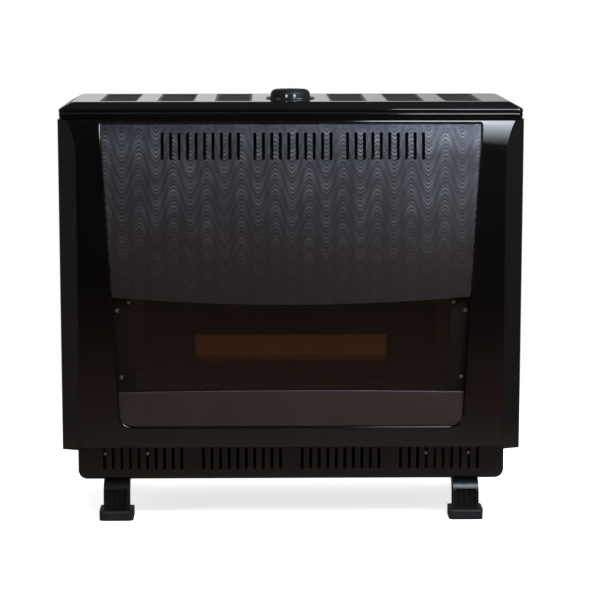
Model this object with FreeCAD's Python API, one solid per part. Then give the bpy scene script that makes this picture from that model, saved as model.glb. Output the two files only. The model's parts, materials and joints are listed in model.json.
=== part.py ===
import FreeCAD, Part
import math
import os

# Flued gas convector heater: enamelled sheet casing on four moulded feet.
# Millimetres, +X to the right seen from the front, +Y to the back, +Z up, floor at zero.
# Pieces are drawn with the front plane at y = 0 and moved to the centred frame when written.

Vector = FreeCAD.Vector

# Casing
casing_width = 700.0
casing_depth = 250.0
casing_top = 612.0
side_lap = 17.0
front_lift = 9.0
sheet = 1.2
flange = 14.0
seam = 0.4
slip = 0.3
run_clearance = 0.05
cut_over = 3.0

# Front surround
bevel_width = 29.0
bevel_depth = 30.0
bevel_lift = 4.5
bend_radius = 7.0
crown_setback = 15.0
crown_rise = 54.0
crown_arc_share = 0.92
crown_edge_radius = 3.0
side_return = 18.0
top_flange = 16.0

# Front opening
top_rail = 6.0
sill = 31.0
stile_top = 65.5
stile_bottom = 90.0
opening_corner = 20.0
opening_top_corner = 3.0
opening_return = 22.0
opening_bend = 2.4

# Upper front panel
panel_gap = 0.8
panel_recess = 3.0
panel_end_height = 346.0
panel_sag = 12.0
panel_hem = 7.0
upper_slot_width = 4.8
upper_slot_height = 41.0
upper_slot_drop = 38.5
upper_slot_pitch = 12.6
upper_group_inset = 146.5
upper_slot_shift = 2.4
upper_groups = 3
slots_per_group = 10

# Window glass and its brackets
bracket_recess = 12.0
bracket_width = 28.0
bracket_ledge = 8.0
bracket_screw_inset = 6.3
bracket_screw_shares = (0.19, 0.83)
bracket_rivet_inset = 25.0
bracket_rivet_share = 0.91
glass_end_gap = 12.3
glass_thickness = 4.0
glass_top_lap = 6.0
glass_foot_lap = 9.0

# Lower apron
apron_height = 53.0
apron_rise = 2.5
apron_bottom_recess = 3.0
apron_top_recess = 8.0
apron_hem = 3.0
apron_bend = 1.5

# Top cover
cover_height = 26.0
cover_front = 11.0
cover_band_inset = 3.6
cover_bead_inset = 3.0
cover_flat_inset = 22.0
cover_ridge_low = 6.6
cover_ridge_high = 7.7
cover_ridge_round = 2.2
cover_ridge_turn_share = 0.3
cover_cove_rise = 1.6
cover_bead_high = 13.9
cover_bead_round = 4.0
cover_bead_turn_share = 0.33
cover_bend_steps = 6
cover_flat_round = 2.4
cover_round_share = 0.3
cover_corner = 8.0
window_end_gap = 40.0
window_width = 56.0
window_front_gap = 15.0
window_length = 187.0
window_corner = 4.0
windows_each_side = 3
grille_margin = 8.0
grille_bar_pitch = 11.8
grille_bar = 3.6
grille_sheet = 1.0

# Base plinth
plinth_side_inset = 24.0
plinth_setback = 28.0
plinth_bottom = 60.0
plinth_height = 65.0
plinth_corner = 16.0
plinth_toe_radius = 8.0
plinth_slot_width = 4.6
plinth_slot_rise = 16.2
plinth_slot_height = 33.5
plinth_slot_pitch = 13.1
plinth_group_inset = 99.2
plinth_groups = 4
plinth_bracket_height = 51.0
plinth_bracket_margin = 10.0
plinth_bracket_foot = 16.0
plinth_screw_drop = 10.5
plinth_bracket_span = 5
plinth_bracket_left_start = 0
plinth_bracket_right_start = 3

# Feet
foot_front_inset = 58.0
foot_rear_inset = 41.0
foot_setback = 8.0
foot_width = 39.0
foot_rear_width = 26.0
foot_rear_toe_width = 28.0
foot_toe_width = 52.0
foot_toe_length = 46.0
foot_toe_height = 15.0
foot_toe_round = 3.0
foot_toe_corner = 7.0
foot_front_low = 6.0
foot_lean = 4.0
foot_shoulder = 26.0
foot_length = 90.0
foot_plate = 7.0
foot_leg_depth = 34.0
foot_heel_radius = 22.0
foot_flange = 4.0
foot_pocket_drop = 14.0
foot_pocket_depth = 2.4
foot_rib_depth = 6.0
foot_rib = 2.0
foot_ribs = 3
foot_screw_gap = 15.0
foot_screw_inset = 9.0

# Back panel
back_rise = 6.0
vent_width = 84.0
vent_height = 5.0
vent_pitch = 14.0
vent_rows = 8
vent_inset = 122.0
vent_drop = 134.0
back_screw_inset = 7.0
back_screw_shares = (0.06, 0.35, 0.64, 0.93)
back_plinth_screw_x = 200.0
back_plinth_screw_drop = 30.0

# Screws
screw_head_radius = 3.3
screw_head_top_share = 0.62
screw_head_height = 2.1
screw_shank_radius = 1.6

# Control knob
knob_radius = 31.5
knob_top_radius = 29.5
knob_rise = 13.6
knob_dome = 1.2
knob_skirt = 7.0
knob_round = 8.0
knob_wall = 2.4
knob_hub_radius = 9.0
knob_hub_recess = 2.0
knob_socket_roof = 6.0
knob_travel = 6.0
pointer_width = 3.0
pointer_length = 13.0
pointer_rise = 0.8
pointer_inset = 4.5
bezel_radius = 37.5
bezel_thickness = 2.0
bezel_round = 1.2
bezel_gap = 1.4
bezel_collar = 0.9
bezel_collar_depth = 4.0

# Gas valve under the knob
cradle_width = 86.0
cradle_drop = 8.0
cradle_tab = 8.0
cradle_front = 27.0
cradle_rear_flange = 20.0
valve_width = 72.0
valve_depth = 58.0
valve_height = 46.0
valve_chamfer = 4.0
valve_screw_x = 26.0
bonnet_radius = 15.0
bonnet_height = 8.0
rotor_radius = 7.0
rotor_depth = 22.0
rotor_shoulder = 2.0
rotor_neck_radius = 5.6
rotor_floor = 2.0
spindle_radius = 4.0
spindle_flat = 2.8
spindle_room = 5.7
spring_radius = 7.2
spring_wire = 0.6
spring_turns = 4
spring_end_gap = 0.1
valve_port_drop = 24.0
valve_port_length = 14.0
valve_port_radius = 11.0
service_port_radius = 5.0
service_port_length = 10.0
service_port_pitch = 20.0
shield_depth = 58.0
shield_front = 36.0
shield_rear_gap = 35.0
baffle_side_gap = 100.0

# Gas pipes
supply_pipe_radius = 6.0
supply_pipe_bend = 14.0
supply_pipe_x = 150.0
supply_pipe_back_gap = 22.0
inlet_height = 150.0
inlet_hex_radius = 14.0
inlet_hex_length = 12.0
inlet_thread_radius = 10.4
inlet_thread_length = 18.0
inlet_bore_radius = 5.0
burner_pipe_radius = 5.0
burner_pipe_bend = 30.0
pipe_wall = 1.0
elbow_gap = 50.0
elbow_size = 20.0
elbow_height = 26.0
elbow_boss_radius = 8.0
elbow_boss_height = 6.0
injector_radius = 6.0
injector_length = 10.0
injector_tip_radius = 3.0
injector_tip_length = 4.0

# Burner and its carrier
burner_rise = 22.0
burner_radius = 18.0
burner_wall = 1.2
burner_end_gap = 20.0
mixing_tube_radius = 11.0
burner_port_width = 1.6
burner_port_length = 16.0
burner_port_pitch = 13.0
burner_ports = 28
carrier_drop = 40.0
carrier_width = 40.0
carrier_flange = 10.0
saddle_x = 120.0
saddle_thickness = 2.0

# Pilot, thermocouple, electrode
pilot_x = -140.0
pilot_y = 104.0
pilot_pitch = 14.0
pilot_plate_drop = 4.0
pilot_plate_margin = 10.0
pilot_radius = 5.0
pilot_hood = 34.0
pilot_stub_radius = 3.0
pilot_stub = 7.0
thermocouple_radius = 2.2
thermocouple_tip = 40.0
electrode_radius = 3.5
electrode_ceramic = 20.0
electrode_rod_radius = 1.0
electrode_rod = 18.0
service_radii = (2.0, 1.0, 1.6)
service_bend = 10.0
service_depth = 66.0
service_step = 8.0
service_side_gap = 27.0
service_drop = 24.0

# Thermostat bulb
bulb_x = -150.0
bulb_back_gap = 9.0
bulb_radius = 5.0
bulb_drop = 25.0
bulb_length = 90.0
bulb_port_x = -15.0
capillary_radius = 1.2
capillary_gap = 24.0
clip_wall = 1.6
clip_width = 10.0
clip_rise = 40.0

# Combustion chamber
chamber_side_gap = 125.0
chamber_front = 72.0
chamber_back_gap = 45.0
chamber_rise = 75.0
chamber_top_gap = 41.0
chamber_box_height = 130.0
chamber_slope_height = 50.0
chamber_step = 23.0
chamber_wall = 1.5
chamber_bend = 8.0
chamber_flange = 18.0
chamber_ribs = 6
chamber_rib_pitch = 66.0
chamber_rib_radius = 5.0
chamber_rib_rise = 3.0
chamber_rib_margin = 12.0
pane_hole_width = 294.0
pane_hole_rise = 38.0
pane_hole_height = 41.4
frame_border = 15.0
frame_thickness = 6.0
frame_corner = 6.0
pane_overlap = 7.0
pane_thickness = 2.5
gasket_thickness = 1.0
frame_screw_columns = 3
support_offset = 9.0
support_inset = 8.0
support_flange = 20.0

# Flue
flue_drop = 68.0
flue_radius = 48.5
flue_wall = 1.5
flue_projection = 45.0
flue_hole_radius = 45.0
flue_inset = 4.0
flue_flange = 12.0
flue_box_width = 150.0
flue_box_drop = 8.0
flue_box_height = 119.0
flue_screws = 4

# Places worked out from the sizes above
half_width = casing_width / 2.0
cover_top = casing_top + cover_height
inner_back = casing_depth - sheet
wrap_back = bevel_depth + side_return
front_half = half_width - bevel_width
plinth_half = half_width - plinth_side_inset
plinth_top = plinth_bottom + plinth_height
side_bottom = plinth_top - side_lap
front_bottom = side_bottom + front_lift
opening_bottom = front_bottom + sill
opening_top = casing_top - top_rail
opening_top_half = half_width - stile_top
opening_bottom_half = half_width - stile_bottom
upper_slot_centre = casing_top - upper_slot_drop
upper_group_pitch = 2.0 * (opening_top_half - upper_group_inset) / (upper_groups - 1)
plinth_group_pitch = 2.0 * (plinth_half - plinth_group_inset) / (plinth_groups - 1)
apron_end_height = opening_bottom + apron_height
glass_top = panel_end_height + glass_top_lap
glass_bottom = apron_end_height - glass_foot_lap
window_front = cover_front + cover_flat_inset + window_front_gap
window_reach = half_width - cover_flat_inset - window_end_gap - window_width / 2.0
window_pitch = window_reach / windows_each_side
bracket_back = bracket_recess + sheet
glass_back = bracket_back + glass_thickness
glass_tall = glass_top - glass_bottom
knob_y = casing_depth / 2.0
knob_bottom = cover_top - knob_skirt
hub_bottom = knob_bottom + knob_hub_recess
knob_top = cover_top + knob_rise
bezel_inner = knob_radius + bezel_gap
collar_outer = bezel_inner + bezel_collar
cradle_height = casing_top - cradle_drop
valve_top = cradle_height
bonnet_top = valve_top + bonnet_height
port_height = valve_top - valve_port_drop
rotor_low = valve_top - rotor_depth
spindle_low = rotor_low + rotor_floor + knob_travel + spindle_room
shield_height = cradle_height - shield_depth
shield_back = inner_back - shield_rear_gap
baffle_half = half_width - baffle_side_gap
chamber_half = half_width - chamber_side_gap
chamber_bottom = plinth_top + chamber_rise
chamber_top = shield_height - chamber_top_gap
chamber_back = casing_depth - chamber_back_gap
chamber_step_low = chamber_bottom + chamber_box_height
chamber_step_high = chamber_step_low + chamber_slope_height
pane_hole_low = chamber_bottom + pane_hole_rise
pane_hole_high = pane_hole_low + pane_hole_height
support_x = chamber_half - support_offset
support_front = chamber_front + support_inset
support_back = chamber_back - support_inset
flue_height = chamber_top - flue_drop
flue_box_high = chamber_top - flue_box_drop
flue_box_low = flue_box_high - flue_box_height
burner_y = (chamber_front + chamber_back) / 2.0
burner_height = chamber_bottom + burner_rise
burner_half = chamber_half - burner_end_gap
carrier_height = chamber_bottom - carrier_drop
pilot_plate_height = chamber_bottom - pilot_plate_drop
elbow_x = chamber_half + elbow_gap
service_x = chamber_half + service_side_gap
service_floor = chamber_bottom - service_drop
capillary_run = shield_back - capillary_gap
bulb_y = inner_back - bulb_back_gap
bulb_low = plinth_top - bulb_drop
bulb_high = bulb_low + bulb_length
clip_height = bulb_low + clip_rise
crown_angle = 2.0 * math.atan2(crown_setback, crown_rise)
crown_radius = crown_rise / math.sin(crown_angle)
crown_vertex = casing_top - crown_rise + crown_radius * math.tan(crown_angle / 2.0)
front_y = -(casing_depth + flue_projection) / 2.0
tiny = 1e-6


# Drawing helpers

def spot(view, u, v, w):
    """Point from a view's two coordinates and the distance along its axis."""
    if view == "front":
        return Vector(u, w, v)
    if view == "side":
        return Vector(w, u, v)
    return Vector(u, v, w)


def rounded_edges(corners, radii, closed=True):
    """Straight runs joined by tangent arcs at the corners that have a radius."""
    count = len(corners)
    turns = []
    for i, corner in enumerate(corners):
        radius = radii[i]
        if radius <= tiny or (not closed and i in (0, count - 1)):
            turns.append((corner, None, corner))
            continue
        before = (corners[i - 1] - corner).normalize()
        after = (corners[(i + 1) % count] - corner).normalize()
        half_angle = before.getAngle(after) / 2.0
        reach = radius / math.tan(half_angle)
        inward = (before + after).normalize()
        centre = corner + inward * (radius / math.sin(half_angle))
        turns.append((corner + before * reach, centre - inward * radius, corner + after * reach))
    edges = []
    for i, (start, middle, end) in enumerate(turns):
        if middle is not None:
            edges.append(Part.Arc(end, middle, start).toShape())
        if closed or i < count - 1:
            following = turns[(i + 1) % count][0]
            if end.distanceToPoint(following) > tiny:
                edges.append(Part.LineSegment(end, following).toShape())
    return edges


def prism(view, points, low, high, radii=None):
    """Solid with the outline as its section in that view, from low to high along the view's axis."""
    corners = [spot(view, u, v, low) for u, v in points]
    edges = rounded_edges(corners, radii or [0.0] * len(points))
    return Part.Face(Part.Wire(edges)).extrude(spot(view, 0.0, 0.0, high - low))


def rectangle(u_low, u_high, v_low, v_high):
    return [(u_low, v_low), (u_high, v_low), (u_high, v_high), (u_low, v_high)]


def inset(points, distance):
    """The outline's corners, listed anticlockwise, moved inwards by the distance."""
    moved = []
    count = len(points)
    for i, (u, v) in enumerate(points):
        before = Vector(u - points[i - 1][0], v - points[i - 1][1], 0.0).normalize()
        after = Vector(points[(i + 1) % count][0] - u, points[(i + 1) % count][1] - v, 0.0).normalize()
        first = Vector(-before.y, before.x, 0.0)
        second = Vector(-after.y, after.x, 0.0)
        step = (first + second) * (distance / (1.0 + first.dot(second)))
        moved.append((u + step.x, v + step.y))
    return moved


def reduced(radii, distance):
    return [max(radius - distance, 0.0) if radius > 0.0 else 0.0 for radius in radii]


def block(x_low, x_high, y_low, y_high, z_low, z_high):
    return Part.makeBox(x_high - x_low, y_high - y_low, z_high - z_low, Vector(x_low, y_low, z_low))


def rod(view, u, v, radius, low, high):
    return Part.makeCylinder(radius, high - low, spot(view, u, v, low), spot(view, 0.0, 0.0, 1.0))


def tube(view, u, v, outer, inner, low, high):
    bore = rod(view, u, v, inner, low - cut_over, high + cut_over)
    return rod(view, u, v, outer, low, high).cut(bore)


def slot_tool(view, u, v, width, height, low, high):
    """Cutter for one slot with round ends."""
    outline = rectangle(u - width / 2.0, u + width / 2.0, v - height / 2.0, v + height / 2.0)
    return prism(view, outline, low, high, [min(width, height) / 2.0] * 4)


def revolved(points, radii, x, y):
    """Solid turned about the vertical axis at (x, y) from an outline of radius and height."""
    corners = [Vector(x + r, y, z) for r, z in points]
    face = Part.Face(Part.Wire(rounded_edges(corners, radii)))
    return face.revolve(Vector(x, y, 0.0), Vector(0.0, 0.0, 1.0), 360.0)


def joined(shapes):
    """One solid from pieces of the same part that meet or overlap."""
    return shapes[0].fuse(shapes[1:]).removeSplitter()


def tidy(shape):
    solids = shape.Solids
    return solids[0] if len(solids) == 1 else Part.makeCompound(solids)


def mirrored(shape):
    return shape.mirror(Vector(0.0, 0.0, 0.0), Vector(1.0, 0.0, 0.0))


def bent_tube(points, bend, radius, wall=0.0):
    """Tube along straight runs with tangent bends, hollow where a wall is given."""
    corners = [Vector(*point) for point in points]
    path = Part.Wire(rounded_edges(corners, [bend] * len(corners), closed=False))
    direction = corners[1] - corners[0]

    def swept(section):
        ring = Part.Wire([Part.Circle(corners[0], direction, section).toShape()])
        return path.makePipeShell([ring], True, False)

    if wall > 0.0:
        return swept(radius).cut(swept(radius - wall))
    return swept(radius)


def screw(place, direction, shank):
    """Pan-head screw seated at the place, its head on the side that the direction points to."""
    base = Vector(*place)
    way = Vector(*direction)
    head = Part.makeCone(screw_head_radius, screw_head_radius * screw_head_top_share, screw_head_height, base, way)
    return head.fuse(Part.makeCylinder(screw_shank_radius, shank, base, way * -1.0))


def screw_hole(place, direction, shank):
    base = Vector(*place) + Vector(*direction) * cut_over
    return Part.makeCylinder(screw_shank_radius + slip, shank + 2.0 * cut_over, base, Vector(*direction) * -1.0)


# Front surround, panel, apron and glass

def wrap_plan(back, distance):
    """Plan of the wrap: front face, bevelled edges and sides, moved inwards by the distance."""
    points = [(-front_half, 0.0), (front_half, 0.0), (half_width, bevel_depth), (half_width, back)]
    points += [(-half_width, back), (-half_width, bevel_depth)]
    radii = [bend_radius, bend_radius, bend_radius, 0.0, 0.0, bend_radius]
    return inset(points, distance), reduced(radii, distance)


def wrap_side(back, bottom, distance):
    """Side view of the wrap: upright front, crowned top, moved inwards by the distance."""
    points = [(0.0, bottom), (back, bottom), (back, casing_top), (crown_setback, casing_top), (0.0, crown_vertex)]
    radii = [0.0, 0.0, 0.0, crown_edge_radius, crown_radius * crown_arc_share]
    return inset(points, distance), reduced(radii, distance)


def wrap_solid(distance, spare):
    """The room inside the wrap, its open back and bottom run on by the spare length."""
    plan, plan_radii = wrap_plan(wrap_back + spare, distance)
    side, side_radii = wrap_side(wrap_back + spare, side_bottom - spare, distance)
    upright = prism("plan", plan, side_bottom - spare, casing_top, plan_radii)
    return upright.common(prism("side", side, -half_width, half_width, side_radii))


def behind_front(distance):
    """Everything behind the crowned front face by at least the distance."""
    low = side_bottom - cut_over
    high = casing_top + cover_height
    setback = crown_setback * (high - crown_vertex) / (casing_top - crown_vertex)
    points = [(0.0, low), (casing_depth, low), (casing_depth, high), (setback, high), (0.0, crown_vertex)]
    radii = [0.0, 0.0, 0.0, 0.0, crown_radius * crown_arc_share]
    return prism("side", inset(points, distance), -half_width, half_width, reduced(radii, distance))


def opening_outline():
    low = opening_bottom_half
    high = opening_top_half
    points = [(-low, opening_bottom), (low, opening_bottom), (high, opening_top), (-high, opening_top)]
    return points, [opening_corner, opening_corner, opening_top_corner, opening_top_corner]


def opening_prism(distance, low, high):
    """Prism of the front opening, its outline moved inwards by the distance."""
    points, radii = opening_outline()
    return prism("front", inset(points, distance), low, high, [radius - distance for radius in radii])


def opening_half(height):
    """Half width of the front opening at a height."""
    share = (height - opening_bottom) / (opening_top - opening_bottom)
    return opening_bottom_half + share * (opening_top_half - opening_bottom_half)


glass_half = opening_half(glass_bottom) - glass_end_gap


def edges_on(shape, face, outline):
    """Edges of a shape where its front face meets the prism of its outline."""
    found = []
    for edge in shape.Edges:
        middle = Part.Vertex(edge.valueAt((edge.FirstParameter + edge.LastParameter) / 2.0))
        if middle.distToShape(face.Shells[0])[0] < seam and middle.distToShape(outline.Shells[0])[0] < tiny:
            found.append(edge)
    return found


def front_surround():
    spare = cut_over + sheet
    skin = wrap_solid(0.0, 0.0)
    shell = skin.cut(wrap_solid(sheet, spare))
    rear = wrap_back + cut_over
    notch = block(sheet - half_width, half_width - sheet, crown_setback + top_flange, rear,
                  casing_top - flange, casing_top + cut_over)
    lift = block(-front_half, front_half, -cut_over, rear, side_bottom - cut_over, front_bottom)
    slope = prism("side", [(0.0, side_bottom), (bevel_depth, side_bottom), (0.0, side_bottom + bevel_lift)],
                  -half_width, half_width)
    opening = opening_prism(0.0, -cut_over, wrap_back)
    shell = shell.cut([notch, lift, slope, opening])
    lip = opening_prism(-sheet, 0.0, opening_return).cut(opening)
    hem = block(-front_half, front_half, 0.0, plinth_setback - slip, front_bottom, front_bottom + sheet)
    whole = joined([shell, lip.common(skin), hem.common(skin)])
    return whole.makeFillet(opening_bend, edges_on(whole, skin, opening))


def arch_disc(end_height, bow, side, distance, low, high):
    """Disc whose rim is an arc across the opening, above (side 1) or below (side -1) its middle."""
    end = opening_half(end_height)
    radius = (end ** 2 + bow ** 2) / (2.0 * bow)
    return rod("front", 0.0, end_height + side * (radius - bow), radius - distance, low, high)


def arched_prism(end_height, bow, side, distance, low, high):
    """Prism of the opening's part above (side 1) or below (side -1) an arc that bows outwards at the middle."""
    return opening_prism(distance, low, high).common(arch_disc(end_height, bow, side, distance, low, high))


def slot_places(groups, group_pitch, pitch):
    """Slot centres along X: groups of equal slots about the middle."""
    places = []
    for group in range(groups):
        middle = (group - (groups - 1) / 2.0) * group_pitch
        places.append([middle + (i - (slots_per_group - 1) / 2.0) * pitch for i in range(slots_per_group)])
    return places


def upper_front_panel():
    tray = arched_prism(panel_end_height, panel_sag, 1.0, panel_gap, 0.0, wrap_back)
    well = arched_prism(panel_end_height, panel_sag, 1.0, panel_gap + sheet, 0.0, wrap_back)
    tray = tray.common(behind_front(panel_recess)).cut(behind_front(panel_recess + panel_hem))
    well = well.common(behind_front(panel_recess + sheet))
    places = slot_places(upper_groups, upper_group_pitch, upper_slot_pitch)
    slots = [slot_tool("front", x + upper_slot_shift, upper_slot_centre, upper_slot_width, upper_slot_height,
                       0.0, wrap_back) for group in places for x in group]
    return tray.cut([well] + slots)


def lower_apron():
    def leaning(distance, thickness):
        """Slab behind the leaning front of the apron."""
        low = opening_bottom
        high = apron_end_height + apron_rise
        low_y = apron_bottom_recess + distance
        high_y = apron_top_recess + distance
        points = [(low_y, low), (low_y + thickness, low), (high_y + thickness, high), (high_y, high)]
        return prism("side", points, -half_width, half_width)

    tray = arched_prism(apron_end_height, apron_rise, -1.0, panel_gap, 0.0, wrap_back)
    well = arched_prism(apron_end_height, apron_rise, -1.0, panel_gap + sheet, 0.0, wrap_back)
    apron = tray.common(leaning(0.0, apron_hem)).cut(well.common(leaning(sheet, apron_hem)))
    rim = arch_disc(apron_end_height, apron_rise, -1.0, panel_gap, 0.0, wrap_back)
    return apron.makeFillet(apron_bend, edges_on(apron, leaning(0.0, wrap_back), rim))


def window_glass():
    return block(-glass_half, glass_half, bracket_back, glass_back, glass_bottom, glass_top)


def bracket_screw_places():
    """Screws and rivet of the right-hand glass bracket."""
    heights = [glass_bottom + share * glass_tall for share in bracket_screw_shares]
    rivet = glass_bottom + bracket_rivet_share * glass_tall
    places = [(opening_half(z) - bracket_screw_inset, bracket_recess, z) for z in heights]
    return places + [(opening_half(rivet) - bracket_rivet_inset, bracket_recess, rivet)]


def glass_bracket():
    """Right-hand bracket: a plate over the end of the glass, a side flange and a ledge below the glass."""
    def strip(inner, y_low, y_high, z_low):
        low = opening_half(z_low) - slip
        high = opening_half(glass_top) - slip
        points = [(low - inner, z_low), (low, z_low), (high, glass_top), (high - inner, glass_top)]
        return prism("front", points, y_low, y_high)

    low = glass_bottom - sheet
    plate = strip(bracket_width, bracket_recess, bracket_back, low)
    side = strip(sheet, bracket_recess, opening_return, low)
    inner = opening_half(low) - slip - bracket_width
    ledge = block(inner, glass_half, bracket_recess, bracket_back + bracket_ledge, low, glass_bottom)
    holes = [screw_hole(place, (0.0, -1.0, 0.0), sheet) for place in bracket_screw_places()]
    return joined([plate, side, ledge]).cut(holes)


def glass_bracket_screws():
    right = [screw(place, (0.0, -1.0, 0.0), sheet) for place in bracket_screw_places()]
    return Part.makeCompound(right + [mirrored(item) for item in right])


# Side panels and back panel

def back_screw_places():
    tall = casing_top - side_bottom
    heights = [side_bottom + share * tall for share in back_screw_shares]
    sides = [(half_width - back_screw_inset, casing_depth, z) for z in heights]
    return sides + [(back_plinth_screw_x, casing_depth, plinth_top - back_plinth_screw_drop)]


def back_screw_holes():
    return [screw_hole(place, (0.0, 1.0, 0.0), 2.0 * sheet) for place in back_screw_places()]


def side_panel():
    """Right-hand side panel: a sheet with turned edges and a tongue behind the surround."""
    start = wrap_back + seam
    inner = half_width - sheet
    skin = block(inner, half_width, start, inner_back, side_bottom, casing_top)
    rear = block(half_width - flange, half_width, inner_back - sheet, inner_back, side_bottom, casing_top)
    roof = block(half_width - flange, half_width, start, inner_back, casing_top - sheet, casing_top)
    floor = block(plinth_half + slip, half_width, start, inner_back, side_bottom, side_bottom + sheet)
    tongue = block(inner - sheet, inner, bevel_depth + bend_radius, start + flange,
                   side_bottom + flange, casing_top - flange)
    return joined([skin, rear, roof, floor, tongue]).cut(back_screw_holes())


def back_panel():
    half = half_width - seam
    low = plinth_bottom + back_rise
    foot = plinth_half - seam
    outline = [(-foot, low), (foot, low), (foot, side_bottom), (half, side_bottom), (half, casing_top)]
    outline += [(-half, casing_top), (-half, side_bottom), (-foot, side_bottom)]
    corner = plinth_corner - back_rise
    plate = prism("front", outline, inner_back, casing_depth, [corner, corner] + [0.0] * (len(outline) - 2))
    lip_half = half_width - flange - slip
    lip = block(-lip_half, lip_half, inner_back - flange, casing_depth, casing_top - sheet, casing_top)
    plate = joined([plate, lip])
    through = (inner_back - cut_over, casing_depth + cut_over)
    tools = [rod("front", 0.0, flue_height, flue_radius + slip, *through)]
    tools.append(rod("front", supply_pipe_x, inlet_height, supply_pipe_radius + slip, *through))
    vent_x = half_width - vent_inset
    for row in range(vent_rows):
        z = casing_top - vent_drop - row * vent_pitch
        tools.append(slot_tool("front", vent_x, z, vent_width, vent_height, *through))
        tools.append(slot_tool("front", -vent_x, z, vent_width, vent_height, *through))
    holes = back_screw_holes()
    flue_holes = [screw_hole(place, (0.0, 1.0, 0.0), sheet) for place in flue_screw_places()]
    return plate.cut(tools + holes + [mirrored(hole) for hole in holes] + flue_holes)


def back_panel_screws():
    right = [screw(place, (0.0, 1.0, 0.0), 2.0 * sheet) for place in back_screw_places()]
    return Part.makeCompound(right + [mirrored(item) for item in right])


# Top cover, grille and knob

def rim_bend(height, radius, turn_share):
    """Rounding of the cover's rim, from upright at the given height through a share of a half turn."""
    turns = [math.pi * turn_share * step / cover_bend_steps for step in range(cover_bend_steps + 1)]
    return [(cover_bead_inset + radius * (1.0 - math.cos(turn)), height + radius * math.sin(turn)) for turn in turns]


def cover_profile():
    """Inset and height of the cover's edge from its foot over a ridge and a bead to its flat."""
    ledge = cover_band_inset - cover_bead_inset
    points = [(cover_band_inset, 0.0), (cover_band_inset, cover_ridge_low - ledge / 2.0)]
    points.append((cover_bead_inset, cover_ridge_low))
    points += rim_bend(cover_ridge_high, cover_ridge_round, cover_ridge_turn_share)
    points.append((cover_bead_inset, points[-1][1] + cover_cove_rise))
    points += rim_bend(cover_bead_high, cover_bead_round, cover_bead_turn_share)
    points.append((cover_flat_inset - cover_flat_round, cover_height - cover_flat_round * cover_round_share))
    points.append((cover_flat_inset, cover_height))
    return points


def cover_loft(points, rear_limit):
    """Solid stacked from rounded rectangles, one at each height of the profile."""
    sections = []
    for distance, height in points:
        half = half_width - distance
        rear = casing_depth + cover_bead_inset - min(distance, rear_limit)
        outline = rectangle(-half, half, cover_front + distance, rear)
        corners = [Vector(x, y, casing_top + height) for x, y in outline]
        sections.append(Part.Wire(rounded_edges(corners, [cover_corner] * 4)))
    return Part.makeLoft(sections, True, True)


def window_places():
    steps = range(1, windows_each_side + 1)
    return [side * step * window_pitch for step in steps for side in (-1.0, 1.0)]


def window_tool(x, margin, low, high):
    half = window_width / 2.0 + margin
    outline = rectangle(x - half, x + half, window_front - margin, window_front + window_length + margin)
    return prism("plan", outline, low, high, [window_corner + margin] * 4)


def top_cover():
    profile = cover_profile()
    closing = [(half_width, cover_height), (half_width, 0.0)]
    hollow = inset(list(reversed(profile + closing)), sheet)
    hollow = list(reversed(hollow))[:len(profile)]
    hollow[0] = (hollow[0][0], -cut_over)
    shell = cover_loft(profile, cover_band_inset).cut(cover_loft(hollow, cover_band_inset + sheet))
    low = casing_top
    high = cover_top + cut_over
    tools = [window_tool(x, 0.0, low, high) for x in window_places()]
    tools.append(rod("plan", 0.0, knob_y, collar_outer + slip, low, high))
    return shell.cut(tools)


def top_grille():
    """Slotted plates below the cover's outlets."""
    high = cover_top - sheet
    low = high - grille_sheet
    gap_half = (grille_bar_pitch - grille_bar) / 2.0
    rows = int(window_length / grille_bar_pitch)
    first = window_front + (window_length - (rows - 1) * grille_bar_pitch) / 2.0
    plates = []
    for x in window_places():
        half = window_width / 2.0 - grille_bar
        gaps = [block(x - half, x + half, first + row * grille_bar_pitch - gap_half,
                      first + row * grille_bar_pitch + gap_half, low - cut_over, high + cut_over)
                for row in range(rows)]
        plates.append(window_tool(x, grille_margin, low, high).cut(gaps))
    return Part.makeCompound([tidy(plate) for plate in plates])


def knob_bezel():
    low = cover_top - bezel_collar_depth
    high = cover_top + bezel_thickness
    points = [(bezel_inner, low), (collar_outer, low), (collar_outer, cover_top), (bezel_radius, cover_top)]
    points += [(bezel_radius, high), (bezel_inner, high)]
    radii = [0.0, 0.0, 0.0, 0.0, bezel_round, bezel_round]
    return revolved(points, radii, 0.0, knob_y)


def d_bar(radius, flat, low, high):
    """Round bar about the knob's axis with one flat side towards the front."""
    bar = rod("plan", 0.0, knob_y, radius, low, high)
    return bar.cut(block(-radius, radius, knob_y - 2.0 * radius, knob_y - flat, low, high))


def control_knob():
    crown = knob_top + knob_dome
    body = revolved([(0.0, knob_bottom), (knob_radius, knob_bottom), (knob_top_radius, knob_top), (0.0, crown)],
                    [0.0, 0.0, knob_round, 0.0], 0.0, knob_y)
    low = knob_bottom - cut_over
    roof = knob_top - knob_wall
    well = revolved([(knob_hub_radius, low), (knob_radius - knob_wall, low),
                     (knob_top_radius - knob_wall, roof), (knob_hub_radius, roof)],
                    [0.0, 0.0, knob_round - knob_wall, 0.0], 0.0, knob_y)
    recess = rod("plan", 0.0, knob_y, knob_hub_radius + knob_wall, low, hub_bottom)
    socket = d_bar(spindle_radius, spindle_flat, low, knob_top - knob_socket_roof)
    pointer_front = knob_y - knob_top_radius + pointer_inset
    pointer = block(-pointer_width / 2.0, pointer_width / 2.0, pointer_front, pointer_front + pointer_length,
                    roof, crown + pointer_rise)
    return joined([body, pointer]).cut([well, recess, socket])


def knob_spindle():
    return d_bar(spindle_radius, spindle_flat, spindle_low, knob_top - knob_socket_roof)


def tangent_arc_middle(start, way, end):
    """Middle of the arc that leaves the start along the way and ends at the end."""
    chord = end - start
    along = Vector(chord).normalize()
    side = way - along * way.dot(along)
    lift = chord.Length / 2.0 * math.tan(way.getAngle(chord) / 2.0)
    return (start + end) * 0.5 + side.normalize() * lift


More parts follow.
